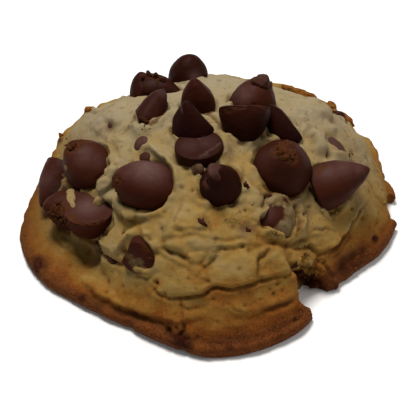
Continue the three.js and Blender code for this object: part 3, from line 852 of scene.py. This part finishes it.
# Broken places, in pixels of the photograph: where they are, radius and depth in millimetres. A
# depth below zero stands out.
BREAKS = [
    (278, 150, 1.6, 0.45), (286, 153, 1.6, 0.3), (293, 157, 1.5, 0.35), (284, 144, 1.2, 0.3),
    (75, 145, 1.4, 0.7), (68, 149, 1.5, 0.4), (84, 140, 1.3, 0.3),
    (58, 214, 1.9, 1.0), (53, 222, 1.8, 0.9), (62, 206, 1.4, 0.6), (66, 224, 1.6, 0.8),
    (63, 229, 1.8, 0.7), (70, 218, 1.4, 0.4),
    (114, 190, 1.3, 0.6), (117, 180, 1.0, 0.4), (112, 186, 0.9, 0.5),
    (256, 80, 1.3, -0.5), (263, 78, 1.6, -0.9), (268, 82, 1.3, -0.6), (261, 84, 0.9, 0.4),
    (322, 166, 1.0, 0.5), (319, 172, 0.8, 0.3),
    (150, 76, 1.0, -0.5), (157, 77, 0.8, -0.4), (144, 77, 1.0, -0.3), (164, 79, 0.9, -0.3),
    (143, 128, 1.0, 0.4), (147, 122, 0.8, 0.3), (136, 125, 0.8, 0.3),
    (152, 267, 1.2, 0.5), (146, 246, 1.0, 0.4),
    (100, 240, 1.2, 0.3), (84, 238, 1.2, 0.25),
]
# Edges that broke up: radius and depth in millimetres, and a traced line in pixels. They become
# small breaks at even steps.
EDGE_STEPS = 4
ROUGH_EDGES = [
    (0.5, 0.1, [(218, 113), (228, 111), (238, 108), (248, 105), (258, 105), (266, 107), (271, 110)]),
    (0.5, 0.2, [(143, 77), (149, 76), (155, 77), (161, 79)]),
    (0.5, 0.15, [(74, 222), (82, 224), (90, 224), (100, 223), (108, 219)]),
]
# Scratches, as lines in pixels of the photograph.
SCRATCH_STEPS = 8
SCRATCH_RADIUS = 0.25
SCRATCHES = [
    [(198, 139), (204, 137)], [(206, 152), (214, 148), (220, 143)], [(200, 156), (207, 154)],
    [(203, 183), (208, 188)], [(206, 178), (203, 184)], [(181, 107), (182, 112)],
]
# Painted sheen on the chocolate, purple-grey highlights where the lamp catches it, and a painted
# glint on the tip of one chip: pixel, radius in millimetres and strength.
SHEENS = [
    (148, 167, 3.4, 0.75), (88, 206, 2.9, 0.62), (99, 201, 2.0, 0.35), (84, 155, 2.6, 0.3),
    (96, 160, 2.4, 0.2), (328, 170, 2.6, 0.35), (344, 166, 2.6, 0.35), (358, 168, 1.8, 0.3),
    (243, 94, 2.4, 0.4), (190, 145, 2.6, 0.2), (206, 142, 2.6, 0.2), (196, 78, 1.6, 0.4),
    (214, 169, 1.3, 0.5), (281, 108, 2.0, 0.5), (45, 180, 2.2, 0.25), (60, 190, 2.2, 0.35),
    (264, 158, 2.6, 0.12), (163, 93, 1.4, 0.25), (131, 240, 2.2, 0.4), (268, 214, 1.8, 0.2),
    (150, 84, 1.4, 0.12), (180, 103, 0.6, 1.0), (178, 107, 0.5, 0.5),
]
# Where dough was smeared thinly over chocolate: pixel, radius in millimetres and strength. Below
# zero, the chocolate shows through a chip that is smeared all over.
VEILED = {"chip_right_smeared": 0.9}
SMEARS = [
    (256, 224, 1.2, -1.0), (261, 222, 1.4, -1.0), (266, 219, 1.5, -1.0), (271, 215, 1.5, -1.0),
    (277, 211, 1.3, -1.0), (273, 221, 1.4, -1.0), (266, 226, 1.4, -1.0), (279, 215, 1.2, -1.0),
    (286, 200, 0.8, -0.9), (290, 203, 0.9, -0.9), (293, 207, 0.9, -0.9), (296, 212, 0.8, -0.8),
    (66, 168, 0.7, 0.8), (64, 176, 0.5, 0.6), (223, 140, 0.5, 0.5), (226, 147, 0.6, 0.5),
    (140, 262, 1.0, 0.55), (134, 262, 1.2, 0.6), (138, 270, 1.3, 0.7), (144, 269, 0.9, 0.6),
    (129, 257, 0.9, 0.5),
]
DARK_TONE = 0.2
TONE_BY_PALENESS = 1.8
# share of painted sheen on the upward faces of a chip, times how pale it is
TOP_SHEEN = 0.11
FILM_RISE = 0.12


def chip_profile(down, melted):
    """Radius and height of the unit chip, from its tip at 0 to the middle of its base at 1."""
    other = MELTED_RADII if melted > 0 else CRISP_RADII
    radii = FRESH_RADII + (other - FRESH_RADII) * abs(melted)
    radii = np.concatenate([[-radii[1]], radii, [-radii[-2]]])
    heights = np.concatenate([[CHIP_HEIGHTS[1]], CHIP_HEIGHTS, [CHIP_HEIGHTS[-2]]])
    place = down * (len(CHIP_HEIGHTS) - 1)
    i = np.minimum(place.astype(int), len(CHIP_HEIGHTS) - 2)
    radius, level = (curve(*(values[i + k] for k in range(4)), place - i) for values in (radii, heights))
    return radius.clip(0), level


chips = {}
for number, (name, (at, tilt, size, melted, pale)) in enumerate(CHIPS.items()):
    bpy.ops.object.select_all(action="DESELECT")
    bpy.ops.mesh.primitive_uv_sphere_add(segments=CHIP_SEGMENTS, ring_count=CHIP_RINGS, radius=1)
    chip = bpy.context.object
    chip.name = name.replace("chip_", "chocolate_")
    ball = corners(chip)
    turn = np.arctan2(ball[:, 1], ball[:, 0])
    radius, level = chip_profile(np.arccos(np.clip(ball[:, 2], -1, 1)) / math.pi, melted)
    wide, tall = size
    local = np.stack([wide / 2 * radius * np.cos(turn), wide / 2 * radius * np.sin(turn),
                      tall * (level - CHIP_MIDDLE)], axis=1)
    lean, toward = (math.radians(a) for a in tilt)
    turned = Matrix.Rotation(lean, 3, Vector((-math.sin(toward), math.cos(toward), 0)))
    x, y, lift = at
    middle = np.array([x, y, float(top_height(x, y)) + lift]) - MIDDLE
    set_corners(chip, (local @ np.array(turned).T + middle) * MM)
    for first, second in TEARS.get(name, ()):
        bpy.ops.object.mode_set(mode="EDIT")
        bpy.ops.mesh.select_all(action="SELECT")
        bpy.ops.mesh.bisect(plane_co=eye, plane_no=sight(*first).cross(sight(*second)).normalized(),
                            use_fill=True, clear_inner=True)
        bpy.ops.object.mode_set(mode="OBJECT")
    finer = chip.modifiers.new("finer", "SUBSURF")
    finer.levels = 1
    finer.render_levels = 1
    bpy.ops.object.modifier_apply(modifier="finer")
    points = corners(chip) / MM
    swell = sum(rise_of * speckle(points + apart * number, size_of) for rise_of, size_of, apart in SWELLS)
    set_corners(chip, (points + directions(chip) * (swell - SWELL_SINK)[:, None]) * MM)
    bpy.ops.object.shade_smooth()
    chips[name] = {"piece": chip, "tree": tree_of(chip), "pale": pale}


def struck(u, v):
    """The chip that a pixel of the photograph shows, and the point on it in millimetres."""
    best = None
    for name, chip in chips.items():
        hit, normal, _, distance = chip["tree"].ray_cast(eye, sight(u, v))
        if hit is not None and (best is None or distance < best[2]):
            best = (name, np.array(hit) / MM, distance, normal)
    return best


def marks(rows):
    """For each row that starts with a pixel: the chip there, the rest of the row, how far off each
    corner of the chip is, and the normal there."""
    for u, v, *sizes in rows:
        found = struck(u, v)
        if found is not None:
            name, point, _, normal = found
            yield chips[name], sizes, np.linalg.norm(chips[name]["points"] - point, axis=1), normal


def spaced(pixels, steps):
    """Pixels at even steps along a traced line, without its last one."""
    for (u1, v1), (u2, v2) in zip(pixels[:-1], pixels[1:]):
        for k in range(steps):
            yield u1 + (u2 - u1) * k / steps, v1 + (v2 - v1) * k / steps


for name, chip in chips.items():
    count = len(chip["piece"].data.vertices)
    chip["points"] = corners(chip["piece"]) / MM
    chip["out"] = directions(chip["piece"])
    chip["push"] = np.zeros(count)
    chip["tone"] = np.full(count, DARK_TONE + TONE_BY_PALENESS * chip["pale"])
    chip["broken"] = np.zeros(count)
    chip["scuff"] = np.zeros(count)
    chip["smear"] = np.full(count, VEILED.get(name, 0.0))
    chip["wobble"] = 1 + 0.5 * speckle(chip["points"], 1.1) + 0.25 * speckle(chip["points"], 0.5)
    # painted sheen on the faces that look up towards the lamp, stronger on paler chips
    chip["bloom"] = TOP_SHEEN * chip["pale"] * smooth(chip["out"][:, 2], 0.35, 1.0)
for radius, depth, pixels in ROUGH_EDGES:
    BREAKS += [(u, v, radius, depth) for u, v in spaced(pixels, EDGE_STEPS)]
for chip, (radius, depth), apart, _ in marks(BREAKS):
    mask = np.exp(-(apart / radius) ** 4)
    near_by = np.flatnonzero(mask > 0.01)
    ragged = speckle(chip["points"][near_by], 0.55, octaves=3)
    chip["push"][near_by] -= mask[near_by] * (depth * (0.8 + 0.9 * ragged) + 0.2 * ragged)
    chip["broken"] = np.maximum(chip["broken"], mask * min(1, 0.3 + 1.5 * abs(depth)))
for line in SCRATCHES:
    for chip, _, apart, _ in marks([*spaced(line, SCRATCH_STEPS), line[-1]]):
        chip["scuff"] = np.maximum(chip["scuff"], np.exp(-(apart / SCRATCH_RADIUS) ** 2))
for chip, (radius, strength), apart, _ in marks(SMEARS):
    patch = strength * np.exp(-(apart * chip["wobble"] / radius) ** 4)
    chip["smear"] = np.maximum(chip["smear"], patch) if strength > 0 else chip["smear"] * (1 + patch)
# painted sheen and a painted glint where the light catches each chip
for chip, (radius, strength), apart, normal in marks(SHEENS):
    facing = smooth(chip["out"] @ np.array(normal), 0.2, 0.9)
    chip["bloom"] = np.maximum(chip["bloom"], strength * facing * np.exp(-(apart / radius) ** 2))

DARK_COLOR = (0.013, 0.0024, 0.0013, 1)
PALE_COLOR = (0.042, 0.0092, 0.0038, 1)
# purple-grey of the painted sheen
SHEEN_COLOR = (0.13, 0.072, 0.064, 1)
BROKEN_COLOR = (0.072, 0.024, 0.007, 1)
SCUFF_COLOR = (0.20, 0.13, 0.11, 1)
FILM_COLORS = [(0.11, 0.066, 0.024, 1), (0.2, 0.14, 0.068, 1)]
CHOCOLATE_ROUGHNESS = 0.44
CHOCOLATE_SPECULAR = 0.035
CHOCOLATE_BUMP = (0.25, 0.12 * MM)  # strength and height
chocolate, shader, painted, grain = start_material("dark_chocolate")
tone = painted("tone") + 0.5 * (grain(5.0, 2.0) - 0.5)
film = (painted("smear") + 0.6 * (grain(0.9, 3.0) - 0.5)).between(0.2, 0.85)
body = tone.between(0, 1).blend(DARK_COLOR, PALE_COLOR)
# the painted sheen goes on the body colour first
for amount, color in (
        (painted("bloom") * (0.6 + 0.8 * grain(0.9, 3.0)), SHEEN_COLOR),
        (0.85 * painted("broken"), BROKEN_COLOR), (0.4 * painted("scuff") * grain(0.6), SCUFF_COLOR),
        (film, grain(1.8, 2.0).between(0.35, 0.65).blend(*FILM_COLORS))):
    body = amount.blend(body, color)
rough = CHOCOLATE_ROUGHNESS + 0.12 * grain(1.5) + 0.3 * painted("broken") + 0.25 * film
surface = 0.4 * grain(0.3, 2.0) + 0.6 * grain(1.4, 2.0) + 2.5 * film * grain(0.6, 3.0)
strength, distance = CHOCOLATE_BUMP
link(shader, "Base Color", body)
link(shader, "Roughness", rough)
link(shader, "Normal", surface.node(
    "ShaderNodeBump", {"Height": surface, "Strength": strength, "Distance": distance}))
shader.inputs["Specular IOR Level"].default_value = CHOCOLATE_SPECULAR

for name, chip in chips.items():
    piece = chip["piece"]
    push = chip["push"] + FILM_RISE * chip["smear"]
    moved = chip["points"] + chip["out"] * push[:, None]
    set_corners(piece, moved * MM)
    for layer in ("tone", "bloom", "broken", "scuff", "smear"):
        paint(piece, layer, np.clip(chip[layer], 0, 1))
    piece.data.materials.append(chocolate)
    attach(piece, "root")
    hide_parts(name)

# Flakes and splinters of chocolate that broke off in mixing, and the crumbs of broken tips. They
# lie at the surface, half sunk in the dough or stuck to a chip, and are made as one piece.
FLAKES = [  # middle and end of the long side in pixels, half width and rise in millimetres, painted sheen
    ((197, 170), (204, 170), 1.4, 0.2, 0.3), ((140, 143), (151, 143), 1.9, 0.4, 0.4),
    ((146, 157), (153, 158), 1.4, 0.2, 0.1), ((110, 126), (116, 130), 1.1, 0.1, 0.3),
    ((336, 144), (345, 154), 1.2, 0.3, 0.4), ((113, 260), (123, 264), 0.6, 0.5, 0.1),
    ((248, 230), (251, 232), 0.5, 0.3, 0.1), ((202, 222), (206, 225), 0.5, 0.3, 0.1),
    ((124, 233), (125, 236), 0.5, 0.1, 0.0), ((246, 186), (249, 189), 0.5, 0.5, 0.0),
    ((313, 283), (320, 286), 1.2, 0.7, 0.0), ((299, 273), (304, 278), 0.9, 0.5, 0.0),
    ((40, 266), (44, 271), 1.0, 0.0, 0.0), ((183, 342), (188, 347), 0.8, 0.1, 0.0),
    ((270, 197), (273, 199), 0.5, 0.4, 0.1), ((335, 113), (339, 117), 0.6, 0.4, 0.2),
    ((263, 81), (271, 82), 2.0, 1.1, 0.2), ((255, 82), (259, 80), 1.2, 0.8, 0.2),
    ((149, 76), (152, 75), 0.9, 1.2, 0.1), ((156, 77), (159, 77), 0.8, 1.2, 0.1),
    ((143, 78), (146, 77), 0.7, 0.8, 0.1), ((163, 80), (167, 81), 0.8, 0.7, 0.1),
    ((214, 171), (222, 172), 1.9, 1.3, 0.3), ((205, 186), (212, 190), 1.0, 0.1, 0.2),
]
CRUMBLES = [  # pixel, spread in pixels, how many crumbs, and their size in millimetres
    (286, 149, 10, 34, 0.55), (280, 145, 5, 12, 0.35), (72, 143, 7, 12, 0.35), (57, 213, 9, 40, 0.4),
    (63, 226, 6, 14, 0.4), (153, 77, 7, 26, 0.45), (262, 81, 8, 14, 0.4), (150, 262, 5, 8, 0.3),
    (350, 153, 4, 7, 0.35), (268, 196, 4, 6, 0.3), (246, 185, 3, 4, 0.3), (320, 205, 6, 6, 0.25),
    (250, 230, 4, 6, 0.3), (205, 222, 4, 7, 0.3), (313, 281, 8, 14, 0.4), (298, 268, 5, 6, 0.35),
    (114, 186, 5, 8, 0.35), (145, 126, 5, 8, 0.3), (38, 266, 5, 6, 0.3), (184, 343, 5, 8, 0.3),
]
FINE_LUMP = 4  # subdivisions of a lump, of a small one and of a crumb
SMALL_LUMP = 3
CRUMB_LUMP = 2
SMALL_HALF = 0.75
LUMP_GRAINS = [(1.0, 0.8, 9), (0.4, 0.35, 1)]  # strength, size, and how differently each lump swells
LUMP_STAND = 0.5
LUMP_SINK = 0.35
FIRST_SMEAR = 0.42  # the first flake has a thin film of dough on it
FLAKE_TONE = 0.6
FLAKE_BROKEN = 0.12
CRUMBLE_BROKEN = 0.8
dough_tree = tree_of(dough)


def surface_at(u, v, on_chips=True):
    """The point and normal of the foremost surface at a pixel, or None where there is none."""
    best = struck(u, v)
    hit, normal, _, distance = dough_tree.ray_cast(eye, sight(u, v))
    if best is not None and (hit is None or best[2] < distance):
        return (Vector(best[1]) * MM, best[3]) if on_chips else None
    return None if hit is None else (hit, normal)


def lump(middle, along_it, normal, half, stands, number, level=FINE_LUMP):
    """A lump that lies partly sunk in a surface. Its number makes its roughness its own."""
    side = normal.cross(along_it).normalized()
    bpy.ops.object.select_all(action="DESELECT")
    bpy.ops.mesh.primitive_ico_sphere_add(subdivisions=level, radius=1)
    made = bpy.context.object
    ball = corners(made)
    uneven = 0.45 if level < FINE_LUMP else 0.22 if half < 1 else 0.14
    swell = sum(share_of * speckle(ball + apart * number, grain_of)
                for share_of, grain_of, apart in LUMP_GRAINS)
    ball *= (1 + uneven * swell)[:, None]
    placed = (ball[:, :1] * np.array(along_it) + ball[:, 1:2] * np.array(side) * half * MM
              + ball[:, 2:] * np.array(normal) * (stands + LUMP_STAND) * MM)
    set_corners(made, placed + np.array(middle) - LUMP_SINK * MM * np.array(normal))
    if level == FINE_LUMP:
        bpy.ops.object.shade_smooth()
    return made


def lay(rows, start, level=FINE_LUMP):
    """A lump for each row, from its middle pixel towards its end pixel, numbered from start."""
    made = []
    for number, (middle_pixel, end_pixel, half, stands, *_) in enumerate(rows):
        place = surface_at(*middle_pixel)
        if place is None:
            continue
        middle, normal = place
        across = (end_pixel[0] - middle_pixel[0]) / FOCAL_PIXELS
        upward = (middle_pixel[1] - end_pixel[1]) / FOCAL_PIXELS
        step = CAMERA_DISTANCE * (across * Vector((1, 0, 0)) + upward * rise)
        step -= step.dot(normal) * normal
        detail = level if half > SMALL_HALF else SMALL_LUMP
        made.append(lump(middle, step, normal, half, stands, start + number, detail))
    return made


def scatter(rows, start, on_chips):
    """Small angular crumbs spread round the given pixels, numbered from start."""
    made = []
    for u, v, spread, count, size in rows:
        for _ in range(count):
            turn = random.uniform(0, math.tau)
            away = spread * math.sqrt(random.random())
            place = surface_at(u + away * math.cos(turn), v + away * math.sin(turn), on_chips)
            if place is None:
                continue
            middle, normal = place
            radius = size * random.uniform(0.4, 1.3)
            along_it = normal.orthogonal().normalized() * radius * random.uniform(0.8, 2.4) * MM
            along_it.rotate(Matrix.Rotation(random.uniform(0, math.tau), 3, normal))
            stands = radius * random.uniform(0.1, 0.9) - 0.25
            number = start + len(made)
            made.append(lump(middle, along_it, normal, radius, stands, number, CRUMB_LUMP))
    return made


def join(parts, name):
    """Makes one piece of many lumps."""
    bpy.ops.object.select_all(action="DESELECT")
    for part in parts:
        part.select_set(True)
    bpy.context.view_layer.objects.active = parts[0]
    bpy.ops.object.join()
    joined = bpy.context.object
    joined.name = name
    bpy.ops.object.mode_set(mode="EDIT")
    bpy.ops.mesh.select_all(action="SELECT")
    bpy.ops.mesh.normals_make_consistent(inside=False)
    bpy.ops.object.mode_set(mode="OBJECT")
    resting = corners(joined)
    resting[:, 2] = np.maximum(resting[:, 2], 0)
    set_corners(joined, resting)
    return joined


def toast_by(piece):
    """How browned the dough is nearest to each corner of a piece."""
    levels = np.empty(len(dough.data.vertices))
    dough.data.attributes["toast"].data.foreach_get("value", levels)
    faces = [dough_tree.find_nearest(Vector(point))[2] for point in corners(piece)]
    return levels[[dough.data.polygons[face].vertices[0] for face in faces]]


shards = lay(FLAKES, start=0)
shard_sheens = [np.full(len(shard.data.vertices), row[4]) for shard, row in zip(shards, FLAKES)]
shard_corners = sum(len(flake_sheens) for flake_sheens in shard_sheens)
first_corners = len(shards[0].data.vertices)
flakes = join(shards + scatter(CRUMBLES, start=50, on_chips=True), "chocolate_flakes")
order = np.arange(len(flakes.data.vertices))
flake_sheens = np.concatenate(shard_sheens + [np.zeros(len(order) - shard_corners)])
# painted sheen on the upward faces of the flakes
paint(flakes, "bloom", flake_sheens * smooth(directions(flakes)[:, 2], 0.1, 1.0))
paint(flakes, "broken", np.where(order < shard_corners, FLAKE_BROKEN, CRUMBLE_BROKEN))
paint(flakes, "smear", np.where(order < first_corners, FIRST_SMEAR, 0.0))
paint(flakes, "scuff", np.zeros(len(order)))
paint(flakes, "tone", np.full(len(order), FLAKE_TONE))
flakes.data.materials.append(chocolate)
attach(flakes, "root")
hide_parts("dough")

# Bits of dough that cling to the chips, crumbs of crust by the cracks, and the ragged flakes of the
# browned rim at the back. They baked on with the rest.
DOUGH_BITS = [  # middle and end in pixels, half width and rise in millimetres
    ((59, 158), (58, 163), 0.6, 0.5), ((71, 192), (76, 191), 1.1, 0.5),
]
STRANDS = [  # half width and rise in millimetres, pixels
    (1.1, 1.2, [(103, 184), (105, 193), (102, 199), (98, 203)]),
    (1.1, 1.2, [(105, 193), (111, 197), (117, 201), (121, 208), (131, 215)]),
    (1.1, 0.3, [(72, 192), (71, 199)]),
    (0.6, 0.3, [(71, 199), (73, 206)]),
    (1.2, 1.0, [(113, 172), (110, 178), (106, 184), (102, 188)]),
]
RIM_FLAKES = [  # as for the bits
    ((284, 87), (287, 88), 0.7, 0.7), ((289, 89), (297, 91), 1.0, 0.6),
    ((299, 92), (307, 95), 1.1, 0.8), ((310, 96), (318, 99), 1.0, 0.6),
    ((321, 98), (328, 102), 1.0, 0.8), ((330, 106), (336, 110), 1.1, 0.8),
    ((341, 111), (347, 116), 1.0, 0.7), ((347, 119), (354, 126), 1.0, 0.6),
    ((61, 136), (62, 139), 0.6, 0.7), ((90, 110), (94, 109), 0.7, 0.9),
    ((86, 112), (88, 111), 0.5, 0.8),
]
DOUGH_CRUMBS = [  # pixel, spread in pixels, how many crumbs, and their size in millimetres
    (146, 131, 8, 12, 0.25), (262, 191, 6, 8, 0.3), (98, 178, 8, 10, 0.3), (275, 237, 8, 10, 0.35),
    (303, 256, 13, 26, 0.4), (268, 140, 6, 8, 0.35), (108, 190, 6, 8, 0.35), (120, 138, 6, 6, 0.4),
    (316, 266, 8, 12, 0.4), (212, 222, 6, 8, 0.3), (222, 205, 8, 8, 0.3), (330, 215, 10, 8, 0.3),
    (285, 236, 7, 8, 0.35), (250, 200, 6, 6, 0.35), (308, 264, 12, 30, 0.5), (314, 274, 9, 20, 0.5),
    (25, 228, 9, 14, 0.3), (32, 258, 9, 10, 0.3), (62, 288, 9, 10, 0.3), (386, 195, 9, 14, 0.4),
    (301, 312, 9, 14, 0.4), (362, 262, 9, 12, 0.35), (150, 325, 12, 12, 0.3), (215, 348, 14, 10, 0.3),
]
STRAND_STEPS = 6
WEB_VOXEL = 0.2 * MM
WEB_SMOOTHINGS = 4
RIM_TOAST = 0.7
BITS_PALER = 0.04
BITS_PAINTED_SHADE = 0.1


def strand(half, stands, pixels, start):
    """A strand of dough over the surfaces at the given pixels, which bridges what is between them."""
    made = []
    places = [surface_at(u, v) for u, v in pixels]
    for (first, normal_1), (second, normal_2) in zip(places[:-1], places[1:]):
        for k in range(STRAND_STEPS):
            normal = normal_1.lerp(normal_2, k / STRAND_STEPS).normalized()
            step = second - first - (second - first).dot(normal) * normal
            step = step.normalized() * (0.2 * (second - first).length + half * MM)
            middle = first.lerp(second, k / STRAND_STEPS)
            made.append(lump(middle, step, normal, half, stands, start + len(made)))
    return made


strands = []
for half, stands, pixels in STRANDS:
    strands += strand(half, stands, pixels, start=400)
webs = join(lay(DOUGH_BITS, start=100) + strands, "webs")
merged = webs.modifiers.new("merged", "REMESH")
merged.mode = "VOXEL"
merged.voxel_size = WEB_VOXEL
bpy.ops.object.modifier_apply(modifier="merged")
soft = webs.modifiers.new("soft", "SMOOTH")
soft.iterations = WEB_SMOOTHINGS
bpy.ops.object.modifier_apply(modifier="soft")
bpy.ops.object.shade_smooth()
rim_flakes = lay(RIM_FLAKES, start=200, level=SMALL_LUMP)
rim_start = len(webs.data.vertices)
rim_end = rim_start + sum(len(flake.data.vertices) for flake in rim_flakes)
dough_bits = join([webs] + rim_flakes + scatter(DOUGH_CRUMBS, start=300, on_chips=False), "baked_bits")
order = np.arange(len(dough_bits.data.vertices))
on_rim = (order >= rim_start) & (order < rim_end)
paint(dough_bits, "toast", np.where(on_rim, RIM_TOAST, toast_by(dough_bits) - BITS_PALER))
# a little painted shade on all the bits
paint(dough_bits, "painted_shade", np.full(len(order), BITS_PAINTED_SHADE))
for layer in ("crumb_and_shade", "scorch", "stain_and_shadow"):
    paint(dough_bits, layer, np.zeros(len(order)))
dough_bits.data.materials.append(baked)
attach(dough_bits, "root")
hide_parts("dough")
